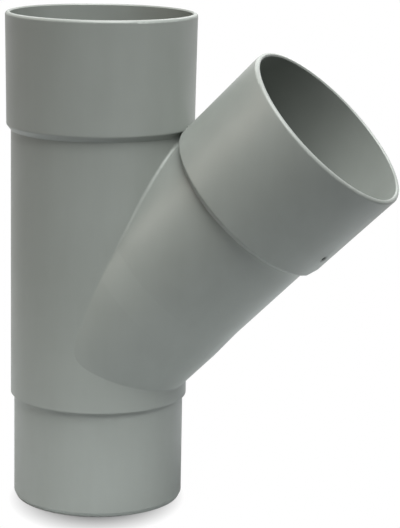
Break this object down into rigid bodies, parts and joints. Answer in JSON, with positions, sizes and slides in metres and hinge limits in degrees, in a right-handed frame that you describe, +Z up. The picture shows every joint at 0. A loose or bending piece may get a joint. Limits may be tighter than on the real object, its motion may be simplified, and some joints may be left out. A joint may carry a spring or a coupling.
{
  "type": "lateral wye pipe fitting",
  "caption": "One-piece plastic pipe fitting that brings a slanted side branch into a straight run, with a plain spigot below and push-on sockets above.",
  "frame": {"origin": "centre of the spigot's end face, on the run's axis", "axes": "+Z up the run, out of the main socket; the branch leans from the run towards +X in the XZ plane; +Y points away from the side that carries the gate mark"},
  "size_m": [0.1553, 0.074, 0.192],
  "materials": {
    "pvc_grey": "moulded, semi-matt"
  },
  "bodies": {
    "root": {"wye_body": "pvc_grey"}
  },
  "joints": []
}
